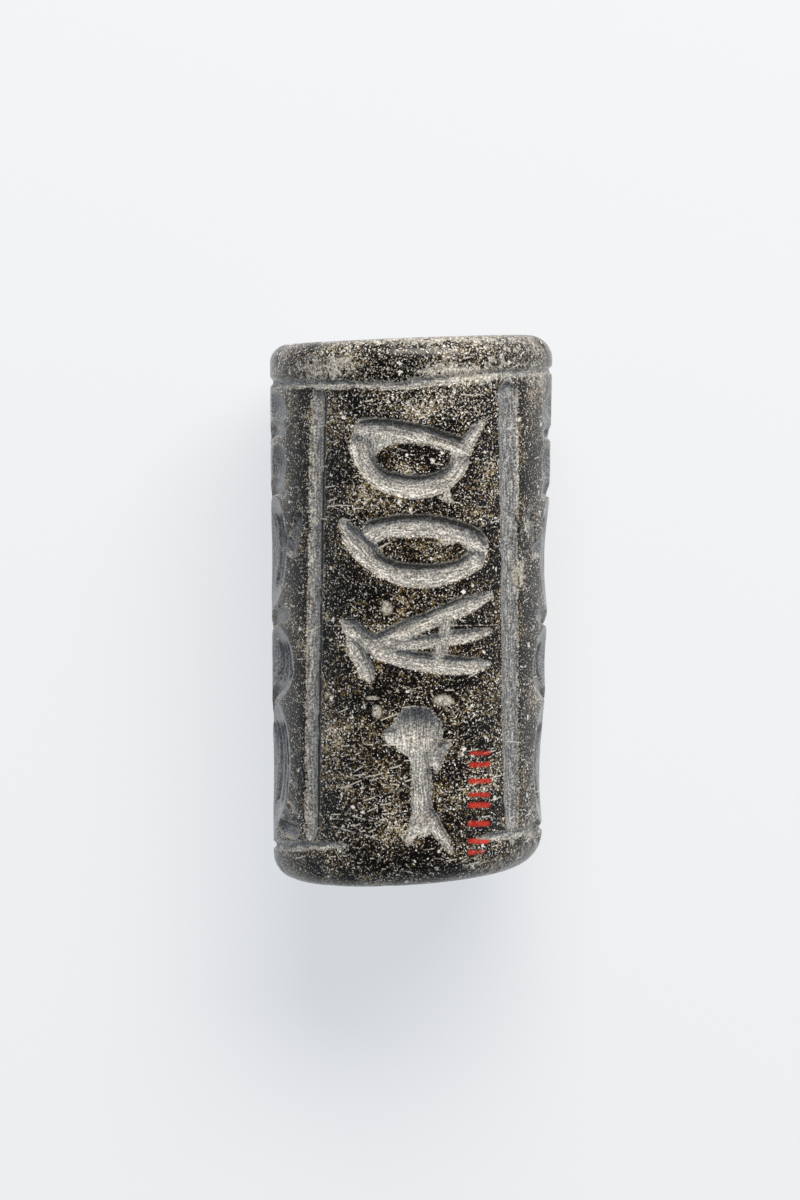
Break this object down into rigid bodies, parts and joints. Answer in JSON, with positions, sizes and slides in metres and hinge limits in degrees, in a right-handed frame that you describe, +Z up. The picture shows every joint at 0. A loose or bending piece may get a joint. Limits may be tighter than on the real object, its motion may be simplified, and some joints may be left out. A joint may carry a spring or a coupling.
{
  "type": "cylinder seal",
  "caption": "Dark polished stone cylinder seal lying on its side, with a string hole along its axis and hollow carving: a ruled panel of signs and a frieze of robed figures.",
  "frame": {"origin": "under the middle of the lying seal, on the surface that it rests on", "axes": "+Y along the seal from its foot to its head, +Z up out of the sign panel, +X to the panel's right with the head up the page"},
  "size_m": [0.0144, 0.028, 0.0143],
  "materials": {
    "stone": "polished, flecked, with abraded cuts"
  },
  "bodies": {
    "root": {"cylinder_seal": "stone"}
  },
  "joints": []
}
